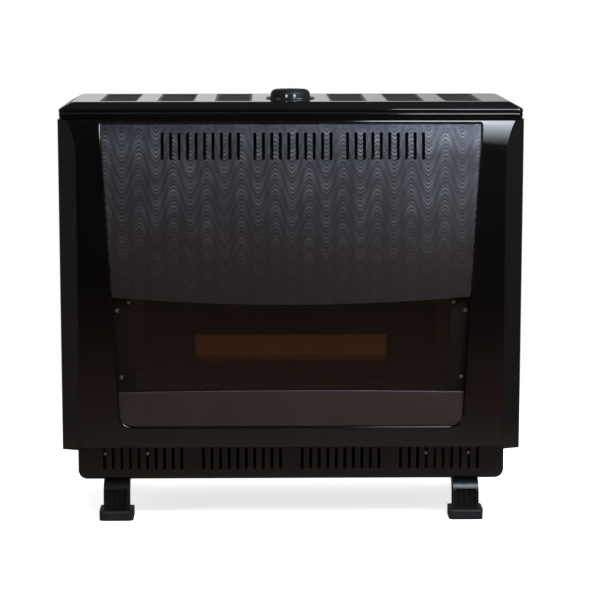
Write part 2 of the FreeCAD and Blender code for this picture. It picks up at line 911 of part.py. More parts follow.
def biarc(start, start_way, end, end_way):
    """Two arcs that join the points and keep both directions."""
    chord = end - start
    square = 2.0 * (1.0 - start_way.dot(end_way))
    linear = 2.0 * chord.dot(start_way + end_way)
    reach = (math.sqrt(linear ** 2 + 4.0 * square * chord.dot(chord)) - linear) / (2.0 * square)
    meeting = (start + start_way * reach + end - end_way * reach) * 0.5
    first = tangent_arc_middle(start, start_way, meeting)
    second = tangent_arc_middle(end, end_way * -1.0, meeting)
    return [Part.Arc(start, first, meeting).toShape(), Part.Arc(meeting, second, end).toShape()]


def knob_spring():
    """Return spring between the valve bonnet and the knob's hub."""
    low = bonnet_top + spring_wire + spring_end_gap
    pitch = (hub_bottom - spring_wire - spring_end_gap - low) / spring_turns

    def place(turn):
        angle = turn * 2.0 * math.pi
        return Vector(spring_radius * math.cos(angle), knob_y + spring_radius * math.sin(angle), low + pitch * turn)

    def way(turn):
        angle = turn * 2.0 * math.pi
        round_trip = 2.0 * math.pi * spring_radius
        return Vector(-round_trip * math.sin(angle), round_trip * math.cos(angle), pitch).normalize()

    steps = [step / 4.0 for step in range(4 * spring_turns + 1)]
    edges = []
    for here, there in zip(steps, steps[1:]):
        edges += biarc(place(here), way(here), place(there), way(there))
    path = Part.Wire(edges)
    ring = Part.Wire([Part.Circle(place(0.0), way(0.0), spring_wire).toShape()])
    spring = path.makePipeShell([ring], True, False)
    gap = min(place(turn).distanceToPoint(place(turn + 1.0)) for turn in steps if turn + 1.0 <= spring_turns)
    print("knob_spring least gap to itself", round(gap - 2.0 * spring_wire, 2))
    return spring


# Gas valve and what carries it

def valve_screw_places():
    return [(side * valve_screw_x, knob_y, cradle_height + sheet) for side in (-1.0, 1.0)]


def control_cradle():
    half = cradle_width / 2.0
    under_flange = casing_top - sheet
    plate = block(-half, half, cradle_front, inner_back, cradle_height, cradle_height + sheet)
    riser = block(-half, half, cradle_front, cradle_front + sheet, cradle_height, under_flange)
    tab = block(-half, half, cradle_front - cradle_tab, cradle_front + sheet, under_flange - sheet, under_flange)
    rear = block(-half, half, inner_back - sheet, inner_back, cradle_height - cradle_rear_flange, cradle_height)
    holes = [screw_hole(place, (0.0, 0.0, 1.0), sheet) for place in valve_screw_places()]
    holes.append(rod("plan", 0.0, knob_y, bonnet_radius + slip, cradle_height - cut_over, bonnet_top))
    return joined([plate, riser, tab, rear]).cut(holes)


def heat_shield():
    half = cradle_width / 2.0
    plate = block(-half, half, shield_front, shield_back, shield_height, shield_height + sheet)
    front = block(-baffle_half, baffle_half, shield_front, shield_front + sheet, shield_height, cradle_height)
    rear = block(-half, half, shield_back - sheet, shield_back, shield_height, cradle_height)
    return joined([plate, front, rear])


def service_port_places():
    """Where the pilot tube, thermocouple lead and ignition lead leave the front of the valve."""
    return [(i - 1.0) * service_port_pitch for i in range(len(service_radii))]


def gas_valve_body():
    half = valve_width / 2.0
    front = knob_y - valve_depth / 2.0
    back = knob_y + valve_depth / 2.0
    low = valve_top - valve_height
    body = prism("plan", rectangle(-half, half, front, back), low, valve_top, [valve_chamfer] * 4)
    inlet = rod("side", knob_y, port_height, valve_port_radius, 0.0, half + valve_port_length)
    outlet = rod("side", burner_y, port_height, valve_port_radius, -half - valve_port_length, 0.0)
    ports = [rod("front", x, port_height, service_port_radius, front - service_port_length, knob_y)
             for x in service_port_places()]
    sensor = rod("front", bulb_port_x, port_height, service_port_radius, knob_y, back + service_port_length)
    cavity = rod("plan", 0.0, knob_y, rotor_radius + run_clearance, rotor_low - run_clearance, valve_top + cut_over)
    depth = screw_shank_radius * 2.0
    holes = [screw_hole(place, (0.0, 0.0, 1.0), sheet + depth) for place in valve_screw_places()]
    return joined([body, inlet, outlet, sensor] + ports).cut([cavity] + holes)


def valve_screws():
    depth = screw_shank_radius * 2.0
    return Part.makeCompound([screw(place, (0.0, 0.0, 1.0), sheet + depth) for place in valve_screw_places()])


def valve_bonnet():
    """Cap over the rotor, its bore narrowed at the top to hold the rotor in."""
    cap = rod("plan", 0.0, knob_y, bonnet_radius, valve_top, bonnet_top)
    wide = rod("plan", 0.0, knob_y, rotor_radius + run_clearance, valve_top - cut_over,
               valve_top + rotor_shoulder + run_clearance)
    narrow = rod("plan", 0.0, knob_y, rotor_neck_radius + run_clearance, valve_top, bonnet_top + cut_over)
    return cap.cut([wide, narrow])


def valve_rotor():
    """Turning plug of the gas tap, with a socket that the spindle slides in."""
    plug = rod("plan", 0.0, knob_y, rotor_radius, rotor_low, valve_top + rotor_shoulder)
    neck = rod("plan", 0.0, knob_y, rotor_neck_radius, rotor_low, bonnet_top - slip)
    socket = d_bar(spindle_radius + run_clearance, spindle_flat + run_clearance, rotor_low + rotor_floor,
                   bonnet_top + cut_over)
    return joined([plug, neck]).cut(socket)


# Gas pipes, burner and pilot

def supply_pipe():
    start = (valve_width / 2.0 + valve_port_length, knob_y, port_height)
    rise_y = casing_depth - supply_pipe_back_gap
    points = [start, (supply_pipe_x, knob_y, port_height), (supply_pipe_x, rise_y, port_height)]
    points += [(supply_pipe_x, rise_y, inlet_height), (supply_pipe_x, casing_depth, inlet_height)]
    return bent_tube(points, supply_pipe_bend, supply_pipe_radius, pipe_wall)


def gas_inlet_union():
    """Hexagon union on the back panel with a round stub for the supply hose or pipe."""
    corners = [(supply_pipe_x + inlet_hex_radius * math.cos(k * math.pi / 3.0),
                inlet_height + inlet_hex_radius * math.sin(k * math.pi / 3.0)) for k in range(6)]
    step = casing_depth + inlet_hex_length
    nut = prism("front", corners, casing_depth, step)
    end = step + inlet_thread_length
    stub = rod("front", supply_pipe_x, inlet_height, inlet_thread_radius, step, end)
    bore = rod("front", supply_pipe_x, inlet_height, inlet_bore_radius, casing_depth - cut_over, end + cut_over)
    return joined([nut, stub]).cut(bore)


def burner_pipe():
    start = (-valve_width / 2.0 - valve_port_length, burner_y, port_height)
    end = (-elbow_x, burner_y, burner_height + elbow_height / 2.0 + elbow_boss_height)
    return bent_tube([start, (-elbow_x, burner_y, port_height), end], burner_pipe_bend, burner_pipe_radius, pipe_wall)


def injector_elbow():
    half = elbow_size / 2.0
    low = burner_height - elbow_height / 2.0
    high = burner_height + elbow_height / 2.0
    body = block(-elbow_x - half, -elbow_x + half, burner_y - half, burner_y + half, low, high)
    boss = rod("plan", -elbow_x, burner_y, elbow_boss_radius, burner_height, high + elbow_boss_height)
    face = -elbow_x + half
    nozzle = rod("side", burner_y, burner_height, injector_radius, -elbow_x, face + injector_length)
    tip_end = face + injector_length + injector_tip_length
    tip = rod("side", burner_y, burner_height, injector_tip_radius, -elbow_x, tip_end)
    return joined([body, boss, nozzle, tip])


def injector_bracket():
    """Stepped strip from the chamber's flange to the elbow."""
    half = elbow_size / 2.0
    seat = burner_height - elbow_height / 2.0
    foot_top = chamber_bottom + chamber_wall
    outer = chamber_half + chamber_flange
    width = (burner_y - half, burner_y + half)
    shelf = block(-elbow_x - half, -outer, *width, seat - sheet, seat)
    riser = block(-outer - sheet, -outer, *width, foot_top, seat)
    foot = block(-outer - sheet, -chamber_half - slip, *width, foot_top, foot_top + sheet)
    return joined([shelf, riser, foot])


def main_burner():
    """Bar burner: a closed tube with a row of cross slots and a mixing tube at one end."""
    half = burner_half
    mouth = -(elbow_x - elbow_size / 2.0 - injector_length)
    barrel = rod("side", burner_y, burner_height, burner_radius, -half, half)
    stem = rod("side", burner_y, burner_height, mixing_tube_radius, mouth, 0.0)
    hollow = rod("side", burner_y, burner_height, burner_radius - burner_wall, burner_wall - half, half - burner_wall)
    throat = rod("side", burner_y, burner_height, mixing_tube_radius - burner_wall, mouth - cut_over, 0.0)
    ports = []
    for i in range(burner_ports):
        x = (i - (burner_ports - 1) / 2.0) * burner_port_pitch
        ports.append(block(x - burner_port_width / 2.0, x + burner_port_width / 2.0,
                           burner_y - burner_port_length / 2.0, burner_y + burner_port_length / 2.0,
                           burner_height + burner_radius / 2.0, burner_height + burner_radius + cut_over))
    return joined([barrel, stem]).cut([hollow, throat] + ports)


def burner_carrier():
    """Channel below the burner, from one chamber support to the other."""
    half = carrier_width / 2.0
    top = carrier_height + carrier_flange
    end = support_x
    floor = block(-end, end, burner_y - half, burner_y + half, carrier_height, carrier_height + sheet)
    front = block(-end, end, burner_y - half, burner_y - half + sheet, carrier_height, top)
    rear = block(-end, end, burner_y + half - sheet, burner_y + half, carrier_height, top)
    return joined([floor, front, rear])


def burner_saddles():
    half = carrier_width / 2.0 - sheet - slip
    cradle = rod("side", burner_y, burner_height, burner_radius + slip, -half_width, half_width)
    plates = []
    for side in (-1.0, 1.0):
        x = side * saddle_x
        plate = block(x - saddle_thickness / 2.0, x + saddle_thickness / 2.0, burner_y - half, burner_y + half,
                      carrier_height + sheet, burner_height)
        plates.append(tidy(plate.cut(cradle)))
    return Part.makeCompound(plates)


def pilot_places():
    return [pilot_x + i * pilot_pitch for i in range(len(service_radii))]


def pilot_bracket():
    low_x = pilot_places()[0] - pilot_plate_margin
    high_x = pilot_places()[-1] + pilot_plate_margin
    rear = burner_y - carrier_width / 2.0
    front = pilot_y - pilot_plate_margin
    top = pilot_plate_height + sheet
    shelf = block(low_x, high_x, front, rear, pilot_plate_height, top)
    leg = block(low_x, high_x, rear - sheet, rear, carrier_height, top)
    holes = []
    for x, radius in zip(pilot_places(), (pilot_stub_radius, thermocouple_radius, electrode_radius)):
        holes.append(rod("plan", x, pilot_y, radius + slip, pilot_plate_height - cut_over, top + cut_over))
    return joined([shelf, leg]).cut(holes)


def service_low():
    return pilot_plate_height + sheet - pilot_stub


def pilot_burner():
    """Pilot head standing on its bracket, with two side windows for the flame."""
    x = pilot_places()[0]
    seat = pilot_plate_height + sheet
    high = seat + pilot_hood
    head = rod("plan", x, pilot_y, pilot_radius, seat, high)
    stub = rod("plan", x, pilot_y, pilot_stub_radius, service_low(), seat)
    hollow = rod("plan", x, pilot_y, pilot_stub_radius, seat + pilot_stub, high + cut_over)
    window = block(x - pilot_radius, x + pilot_radius, pilot_y - pilot_stub_radius / 2.0,
                   pilot_y + pilot_stub_radius / 2.0, high - 2.0 * pilot_stub, high - pilot_stub)
    return joined([head, stub]).cut([hollow, window])


def service_run(index):
    """Route of one thin tube or lead from the valve's front, down the left side, to the pilot."""
    offset = index * service_step
    run_y = service_depth - offset
    drop_x = -service_x - offset
    floor = service_floor - offset
    port = service_port_places()[index]
    start_y = knob_y - valve_depth / 2.0 - service_port_length
    end_x = pilot_places()[index]
    points = [(port, start_y, port_height), (port, run_y, port_height), (drop_x, run_y, port_height)]
    points += [(drop_x, run_y, floor), (end_x, run_y, floor), (end_x, pilot_y, floor)]
    points += [(end_x, pilot_y, service_low())]
    return bent_tube(points, service_bend, service_radii[index])


def thermocouple():
    """Sensing tip at the pilot and its copper lead, one piece."""
    tip = rod("plan", pilot_places()[1], pilot_y, thermocouple_radius, service_low(),
              service_low() + thermocouple_tip)
    return joined([tip, service_run(1)])


def ignition_electrode():
    x = pilot_places()[2]
    low = service_low()
    ceramic = rod("plan", x, pilot_y, electrode_radius, low, low + electrode_ceramic)
    top = low + electrode_ceramic + electrode_rod
    return joined([ceramic, rod("plan", x, pilot_y, electrode_rod_radius, low, top)])


def thermostat_bulb():
    """Liquid bulb low at the back and the capillary that joins it to the valve."""
    start_y = knob_y + valve_depth / 2.0 + service_port_length
    points = [(bulb_port_x, start_y, port_height), (bulb_port_x, capillary_run, port_height)]
    points += [(bulb_x, capillary_run, port_height), (bulb_x, bulb_y, port_height), (bulb_x, bulb_y, bulb_high)]
    bulb = rod("plan", bulb_x, bulb_y, bulb_radius, bulb_low, bulb_high)
    return joined([bulb, bent_tube(points, service_bend, capillary_radius)])


def bulb_clip():
    low = clip_height - clip_width / 2.0
    high = clip_height + clip_width / 2.0
    inner = bulb_radius + slip
    ring = tube("plan", bulb_x, bulb_y, inner + clip_wall, inner, low, high)
    strap = block(bulb_x - 2.0 * bulb_radius, bulb_x + 2.0 * bulb_radius, bulb_y + inner, inner_back, low, high)
    return joined([ring, strap])


# Combustion chamber and flue

def chamber_side(distance, spare):
    """Side view of the chamber: a deep fire box below, a shallower heat exchanger above."""
    low = chamber_bottom - spare
    upper_front = chamber_front + chamber_step
    points = [(chamber_front, low), (chamber_back, low), (chamber_back, chamber_top), (upper_front, chamber_top)]
    points += [(upper_front, chamber_step_high), (chamber_front, chamber_step_low)]
    radii = [0.0, 0.0] + [chamber_bend] * 4
    return inset(points, distance), radii


def pane_hole(margin, low, high):
    half = pane_hole_width / 2.0 + margin
    return block(-half, half, low, high, pane_hole_low - margin, pane_hole_high + margin)


def frame_screw_places():
    half = pane_hole_width / 2.0 + (frame_border + pane_overlap) / 2.0
    rise = (frame_border + pane_overlap) / 2.0
    places = []
    for i in range(frame_screw_columns):
        x = half * (2.0 * i / (frame_screw_columns - 1) - 1.0)
        for z in (pane_hole_low - rise, pane_hole_high + rise):
            places.append((x, chamber_front - frame_thickness, z))
    return places


def combustion_chamber():
    outer, radii = chamber_side(0.0, 0.0)
    inner, _ = chamber_side(chamber_wall, cut_over + chamber_wall)
    hull = prism("side", outer, -chamber_half, chamber_half, radii)
    room = prism("side", inner, chamber_wall - chamber_half, chamber_half - chamber_wall, reduced(radii, chamber_wall))
    upper_front = chamber_front + chamber_step
    ribs = []
    for i in range(chamber_ribs):
        x = (i - (chamber_ribs - 1) / 2.0) * chamber_rib_pitch
        centre_y = upper_front + chamber_rib_radius - chamber_rib_rise
        ribs.append(rod("plan", x, centre_y, chamber_rib_radius, chamber_step_high + chamber_rib_margin,
                        chamber_top - chamber_rib_margin))
    wings = [block(x, x + chamber_flange, chamber_front + chamber_bend, chamber_back - chamber_bend,
                   chamber_bottom, chamber_bottom + chamber_wall)
             for x in (-chamber_half - chamber_flange, chamber_half)]
    tools = [room, pane_hole(0.0, chamber_front - cut_over, chamber_front + 2.0 * cut_over)]
    tools.append(rod("front", 0.0, flue_height, flue_hole_radius, chamber_back - cut_over, chamber_back + cut_over))
    tools.append(rod("side", burner_y, burner_height, mixing_tube_radius + seam, -half_width, 0.0))
    tools += [screw_hole(place, (0.0, -1.0, 0.0), frame_thickness + chamber_wall) for place in frame_screw_places()]
    return joined([hull] + ribs + wings).cut(tools)


def window_frame():
    """Frame round the chamber's window, rebated behind for the pane and its gasket."""
    half = pane_hole_width / 2.0 + frame_border + pane_overlap
    outline = rectangle(-half, half, pane_hole_low - frame_border - pane_overlap,
                        pane_hole_high + frame_border + pane_overlap)
    plate = prism("front", outline, chamber_front - frame_thickness, chamber_front, [frame_corner] * 4)
    rebate_front = chamber_front - gasket_thickness - pane_thickness
    rebate = pane_hole(pane_overlap + slip, rebate_front, chamber_front + cut_over)
    holes = [screw_hole(place, (0.0, -1.0, 0.0), frame_thickness) for place in frame_screw_places()]
    return plate.cut([pane_hole(0.0, 0.0, chamber_front), rebate] + holes)


def window_frame_screws():
    shank = frame_thickness + chamber_wall
    return Part.makeCompound([screw(place, (0.0, -1.0, 0.0), shank) for place in frame_screw_places()])


def chamber_pane():
    back = chamber_front - gasket_thickness
    return pane_hole(pane_overlap, back - pane_thickness, back)


def pane_gasket():
    front = chamber_front - gasket_thickness
    return pane_hole(pane_overlap, front, chamber_front).cut(pane_hole(0.0, 0.0, casing_depth))


def chamber_support():
    """Right-hand upright below the chamber, turned out at its foot and top."""
    floor = plinth_bottom + sheet
    end = support_x + support_flange
    wall = block(support_x, support_x + sheet, support_front, support_back, floor, chamber_bottom)
    foot = block(support_x, end, support_front, support_back, floor, floor + sheet)
    seat = block(support_x, end, support_front, support_back, chamber_bottom - sheet, chamber_bottom)
    return joined([wall, foot, seat])


def flue_box():
    """Draught hood between the chamber and the back panel, open below."""
    half = flue_box_width / 2.0
    hood = block(-half, half, chamber_back, inner_back, flue_box_low, flue_box_high)
    room = block(sheet - half, half - sheet, chamber_back + sheet, inner_back - sheet,
                 flue_box_low - cut_over, flue_box_high - sheet)
    entry = rod("front", 0.0, flue_height, flue_hole_radius, chamber_back - cut_over, chamber_back + cut_over)
    exit_hole = rod("front", 0.0, flue_height, flue_radius + slip, inner_back - 2.0 * cut_over, inner_back + cut_over)
    holes = [screw_hole(place, (0.0, 1.0, 0.0), 3.0 * sheet) for place in flue_screw_places()]
    return hood.cut([room, entry, exit_hole] + holes)


def flue_screw_places():
    """Screws through the spigot's flange, on the diagonals."""
    reach = flue_radius + flue_flange / 2.0
    places = []
    for k in range(flue_screws):
        angle = (k + 0.5) * 2.0 * math.pi / flue_screws
        places.append((reach * math.cos(angle), casing_depth + sheet, flue_height + reach * math.sin(angle)))
    return places


def flue_spigot():
    """Round spigot through the back panel that the flue pipe slides over."""
    inner = flue_radius - flue_wall
    pipe = tube("front", 0.0, flue_height, flue_radius, inner, inner_back - flue_inset, casing_depth + flue_projection)
    ring = tube("front", 0.0, flue_height, flue_radius + flue_flange, inner, casing_depth, casing_depth + sheet)
    holes = [screw_hole(place, (0.0, 1.0, 0.0), sheet) for place in flue_screw_places()]
    return joined([pipe, ring]).cut(holes)


def flue_flange_screws():
    shank = 2.0 * sheet
    return Part.makeCompound([screw(place, (0.0, 1.0, 0.0), shank) for place in flue_screw_places()])


# Plinth and feet

def foot_places():
    """Middle, front edge and direction of each foot: front pair, then rear pair."""
    front_x = plinth_half - foot_front_inset
    rear_x = plinth_half - foot_rear_inset
    front = [(side * front_x, foot_setback, 1.0) for side in (-1.0, 1.0)]
    rear = [(side * rear_x, casing_depth - foot_setback, -1.0) for side in (-1.0, 1.0)]
    return front + rear


def foot_screw_places():
    places = []
    for x, start, way in foot_places():
        y = start + way * (foot_length - foot_screw_inset)
        low = plinth_bottom - foot_plate
        places += [(x + side * foot_screw_gap / 2.0, y, low) for side in (-1.0, 1.0)]
    return places


def base_plinth():
    """Slotted tray with rounded lower corners."""
    def tray(distance, spare):
        outline = rectangle(-plinth_half, plinth_half, plinth_bottom, plinth_top + spare)
        side = rectangle(plinth_setback, inner_back, plinth_bottom, plinth_top + spare)
        face_radii = [plinth_corner, plinth_corner, 0.0, 0.0]
        side_radii = [plinth_toe_radius, 0.0, 0.0, 0.0]
        whole = prism("front", inset(outline, distance), 0.0, casing_depth, reduced(face_radii, distance))
        return whole.common(prism("side", inset(side, distance), -half_width, half_width,
                                  reduced(side_radii, distance)))

    shell = tray(0.0, 0.0).cut(tray(sheet, cut_over + sheet))
    middle = plinth_bottom + plinth_slot_rise + plinth_slot_height / 2.0
    through = (0.0, plinth_setback + 2.0 * cut_over)
    tools = [slot_tool("front", x, middle, plinth_slot_width, plinth_slot_height, *through)
             for group in slot_places(plinth_groups, plinth_group_pitch, plinth_slot_pitch) for x in group]
    tools += [screw_hole(place, (0.0, 0.0, -1.0), foot_plate + sheet) for place in foot_screw_places()]
    holes = back_screw_holes()
    return shell.cut(tools + holes + [mirrored(hole) for hole in holes])


def plinth_screw_places(group, first):
    """Two screws of one bracket, each in a slot of the given group."""
    slots = slot_places(plinth_groups, plinth_group_pitch, plinth_slot_pitch)[group]
    y = plinth_setback + plinth_toe_radius + slip
    z = plinth_bottom + plinth_slot_rise + plinth_slot_height - plinth_screw_drop
    return [(slots[first], y, z), (slots[first + plinth_bracket_span], y, z)]


def plinth_bracket(places):
    """Angle on the plinth's floor, just behind its slots."""
    low_x = places[0][0] - plinth_bracket_margin
    high_x = places[-1][0] + plinth_bracket_margin
    y = places[0][1]
    floor = plinth_bottom + sheet
    wall = block(low_x, high_x, y, y + sheet, floor, floor + plinth_bracket_height)
    foot = block(low_x, high_x, y, y + plinth_bracket_foot, floor, floor + sheet)
    return joined([wall, foot]).cut([screw_hole(place, (0.0, -1.0, 0.0), sheet) for place in places])


def plinth_bracket_screws(places):
    return Part.makeCompound([screw(place, (0.0, -1.0, 0.0), sheet) for place in places])


def foot(x, start, way, width, toe_width):
    """Moulded foot: a leaning leg with a round shoulder, ribbed front pocket, top plate and toe."""
    half = width / 2.0
    leg_back = foot_front_low + foot_leg_depth
    high = plinth_bottom
    points = [(foot_front_low, 0.0), (leg_back, 0.0), (leg_back + foot_lean, high - foot_plate)]
    points += [(foot_length, high - foot_plate), (foot_length, high), (foot_front_low + foot_lean, high)]
    leg = prism("side", points, -half, half, [0.0, 0.0, foot_heel_radius, 0.0, 0.0, foot_shoulder])

    def pocket(x_low, x_high, cut_depth):
        front = foot_front_low + cut_depth
        outline = [(-cut_over, foot_toe_height), (front, foot_toe_height)]
        pocket_top = high - foot_pocket_drop
        outline += [(front + foot_lean, pocket_top), (-cut_over, pocket_top)]
        return prism("side", outline, x_low, x_high)

    inner = half - foot_flange
    pockets = [pocket(-inner, inner, foot_pocket_depth)]
    bay = (2.0 * inner - foot_ribs * foot_rib) / (foot_ribs + 1)
    for i in range(foot_ribs + 1):
        low_x = i * (bay + foot_rib) - inner
        pockets.append(pocket(low_x, low_x + bay, foot_rib_depth))
    toe_half = toe_width / 2.0
    toe = prism("plan", rectangle(-toe_half, toe_half, 0.0, foot_toe_length), 0.0, foot_toe_height,
                [foot_toe_corner] * 4)
    side = rectangle(0.0, foot_toe_length, 0.0, foot_toe_height)
    toe = toe.common(prism("side", side, -toe_half, toe_half, [0.0, 0.0, foot_toe_round, foot_toe_round]))
    shape = joined([leg.cut(pockets), toe])
    if way < 0.0:
        shape = shape.mirror(Vector(0.0, 0.0, 0.0), Vector(0.0, 1.0, 0.0))
    shape.translate(Vector(x, start, 0.0))
    return shape.cut([screw_hole(place, (0.0, 0.0, -1.0), foot_plate + sheet) for place in foot_screw_places()])


def foot_screws():
    shank = foot_plate + sheet
    return Part.makeCompound([screw(place, (0.0, 0.0, -1.0), shank) for place in foot_screw_places()])


# All pieces, by name

def all_pieces():
    sizes = {1.0: (foot_width, foot_toe_width), -1.0: (foot_rear_width, foot_rear_toe_width)}
    feet = [foot(x, start, way, *sizes[way]) for x, start, way in foot_places()]
    left_places = plinth_screw_places(0, plinth_bracket_left_start)
    right_places = plinth_screw_places(plinth_groups - 1, plinth_bracket_right_start)
    bracket = glass_bracket()
    side = side_panel()
    support = chamber_support()
    return {
        "front_surround": front_surround(),
        "upper_front_panel": upper_front_panel(),
        "lower_apron": lower_apron(),
        "window_glass": window_glass(),
        "glass_bracket_left": mirrored(bracket),
        "glass_bracket_right": bracket,
        "glass_bracket_screws": glass_bracket_screws(),
        "side_panel_left": mirrored(side),
        "side_panel_right": side,
        "back_panel": back_panel(),
        "back_panel_screws": back_panel_screws(),
        "top_cover": top_cover(),
        "top_grille": top_grille(),
        "knob_bezel": knob_bezel(),
        "control_knob": control_knob(),
        "knob_spindle": knob_spindle(),
        "knob_spring": knob_spring(),
        "control_cradle": control_cradle(),
        "heat_shield": heat_shield(),
        "gas_valve_body": gas_valve_body(),
        "valve_bonnet": valve_bonnet(),
        "valve_rotor": valve_rotor(),
        "valve_screws": valve_screws(),
        "supply_pipe": supply_pipe(),
        "gas_inlet_union": gas_inlet_union(),
        "burner_pipe": burner_pipe(),
        "injector_elbow": injector_elbow(),
        "injector_bracket": injector_bracket(),
        "main_burner": main_burner(),
        "burner_carrier": burner_carrier(),
        "burner_saddles": burner_saddles(),
        "pilot_bracket": pilot_bracket(),
        "pilot_burner": pilot_burner(),
        "pilot_tube": service_run(0),
        "thermocouple": thermocouple(),
        "ignition_electrode": ignition_electrode(),
        "ignition_lead": service_run(2),
        "thermostat_bulb": thermostat_bulb(),
        "bulb_clip": bulb_clip(),
        "combustion_chamber": combustion_chamber(),
        "window_frame": window_frame(),
        "window_frame_screws": window_frame_screws(),
        "chamber_pane": chamber_pane(),
        "pane_gasket": pane_gasket(),
        "chamber_support_left": mirrored(support),
        "chamber_support_right": support,
        "flue_box": flue_box(),
        "flue_spigot": flue_spigot(),
        "flue_flange_screws": flue_flange_screws(),
        "base_plinth": base_plinth(),
        "plinth_bracket_left": plinth_bracket(left_places),
        "plinth_bracket_right": plinth_bracket(right_places),
        "plinth_bracket_screws": plinth_bracket_screws(left_places + right_places),
        "foot_front_left": feet[0],
        "foot_front_right": feet[1],
        "foot_rear_left": feet[2],
        "foot_rear_right": feet[3],
        "foot_screws": foot_screws(),
    }


os.makedirs("parts", exist_ok=True)
for name, shape in all_pieces().items():
    piece = tidy(shape)
    piece.translate(Vector(0.0, front_y, 0.0))
    piece.exportStep("parts/" + name + ".step")
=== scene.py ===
import json
import math

import bmesh
import bpy
from mathutils import Matrix, Vector


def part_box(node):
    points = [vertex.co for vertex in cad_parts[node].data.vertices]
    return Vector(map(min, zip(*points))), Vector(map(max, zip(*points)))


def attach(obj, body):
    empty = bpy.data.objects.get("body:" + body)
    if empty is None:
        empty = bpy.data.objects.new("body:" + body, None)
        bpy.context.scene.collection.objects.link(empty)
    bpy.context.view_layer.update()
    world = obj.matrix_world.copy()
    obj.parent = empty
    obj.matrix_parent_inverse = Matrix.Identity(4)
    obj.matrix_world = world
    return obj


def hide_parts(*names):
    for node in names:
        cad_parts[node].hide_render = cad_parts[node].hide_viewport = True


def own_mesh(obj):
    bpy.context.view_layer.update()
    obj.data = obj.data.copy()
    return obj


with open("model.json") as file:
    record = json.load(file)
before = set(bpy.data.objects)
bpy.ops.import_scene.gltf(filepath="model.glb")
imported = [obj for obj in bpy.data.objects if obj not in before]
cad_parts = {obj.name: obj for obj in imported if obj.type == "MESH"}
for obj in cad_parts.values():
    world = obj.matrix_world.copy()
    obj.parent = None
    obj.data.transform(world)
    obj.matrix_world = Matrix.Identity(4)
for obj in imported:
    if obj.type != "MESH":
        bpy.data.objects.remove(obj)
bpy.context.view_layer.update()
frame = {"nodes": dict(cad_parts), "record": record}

scene = bpy.context.scene
nodes = frame["nodes"]


# Node helpers

class NodeTree:
    """Short calls that add nodes to one tree and link them."""

    first_colour, second_colour, mixed_colour = 6, 7, 2     # sockets of a mix node that mixes colours

    def __init__(self, tree, coordinates):
        self.tree = tree
        self.tree.nodes.clear()
        self.place = self.add("ShaderNodeTexCoord").outputs[coordinates]

    def add(self, kind, **settings):
        """New node with these settings."""
        node = self.tree.nodes.new(kind)
        for key, value in settings.items():
            setattr(node, key, value)
        return node

    def link(self, source, target):
        """Link from an output socket to an input socket."""
        self.tree.links.new(source, target)

    def feed(self, socket, value):
        """A number, a colour as red, green and blue, or a link for one input socket."""
        if isinstance(value, (int, float)):
            socket.default_value = value
        elif isinstance(value, tuple):
            socket.default_value = value + (1.0,)
        else:
            self.link(value, socket)

    def math(self, operation, *values):
        """One operation on up to three values."""
        node = self.add("ShaderNodeMath", operation=operation)
        for socket, value in zip(node.inputs, values):
            self.feed(socket, value)
        return node.outputs["Value"]

    def fold(self, operation, result, *others):
        """The same operation over several values, one after the other."""
        for other in others:
            result = self.math(operation, result, other)
        return result

    def span(self, value, to, over=(0.0, 1.0), smooth=False):
        """The value mapped from one range to another and held at its ends."""
        node = self.add("ShaderNodeMapRange", clamp=True)
        node.interpolation_type = "SMOOTHSTEP" if smooth else "LINEAR"
        for key, number in zip(("From Min", "From Max", "To Min", "To Max"), over + to):
            node.inputs[key].default_value = number
        self.link(value, node.inputs["Value"])
        return node.outputs["Result"]

    def tint(self, factor, first, second):
        """Mix of two colours."""
        node = self.add("ShaderNodeMix", data_type="RGBA")
        self.link(factor, node.inputs["Factor"])
        self.feed(node.inputs[self.first_colour], first)
        self.feed(node.inputs[self.second_colour], second)
        return node.outputs[self.mixed_colour]

    def axes(self):
        """The three coordinates of the place."""
        node = self.add("ShaderNodeSeparateXYZ")
        self.link(self.place, node.inputs["Vector"])
        return node.outputs["X"], node.outputs["Y"], node.outputs["Z"]


class Shader(NodeTree):
    """A material with one principled shader, drawn in the object's own coordinates."""

    def __init__(self, name):
        self.name = name
        self.material = bpy.data.materials.new(name)
        self.material.use_nodes = True
        super().__init__(self.material.node_tree, "Object")
        self.output = self.add("ShaderNodeOutputMaterial")
        self.principled = self.add("ShaderNodeBsdfPrincipled")
        self.link(self.principled.outputs["BSDF"], self.output.inputs["Surface"])

    def set(self, **sockets):
        """Plain values of the principled shader, with _ for each space in a socket's name."""
        for key, value in sockets.items():
            self.principled.inputs[key.replace("_", " ")].default_value = value

    def stretched(self, scale):
        """The place, scaled by its own amount along each axis."""
        node = self.add("ShaderNodeMapping")
        node.inputs["Scale"].default_value = scale
        self.link(self.place, node.inputs["Vector"])
        return node.outputs["Vector"]

    def noise(self, scale, detail=3.0, rough=0.55, where=None):
        """Cloudy pattern between 0 and 1."""
        node = self.add("ShaderNodeTexNoise")
        node.inputs["Scale"].default_value = scale
        node.inputs["Detail"].default_value = detail
        node.inputs["Roughness"].default_value = rough
        self.link(where or self.place, node.inputs["Vector"])
        return node.outputs["Fac"]

    def bump(self, height, distance, strength=1.0):
        """Surface direction that follows a height pattern."""
        node = self.add("ShaderNodeBump")
        node.inputs["Strength"].default_value = strength
        node.inputs["Distance"].default_value = distance
        self.link(height, node.inputs["Height"])
        return node.outputs["Normal"]

    def colour(self, source):
        """Colour of the surface."""
        self.link(source, self.principled.inputs["Base Color"])

    def roughness(self, source):
        """Roughness of the surface."""
        self.link(source, self.principled.inputs["Roughness"])

    def normal(self, source):
        """Direction of the surface."""
        self.link(source, self.principled.inputs["Normal"])


# Materials

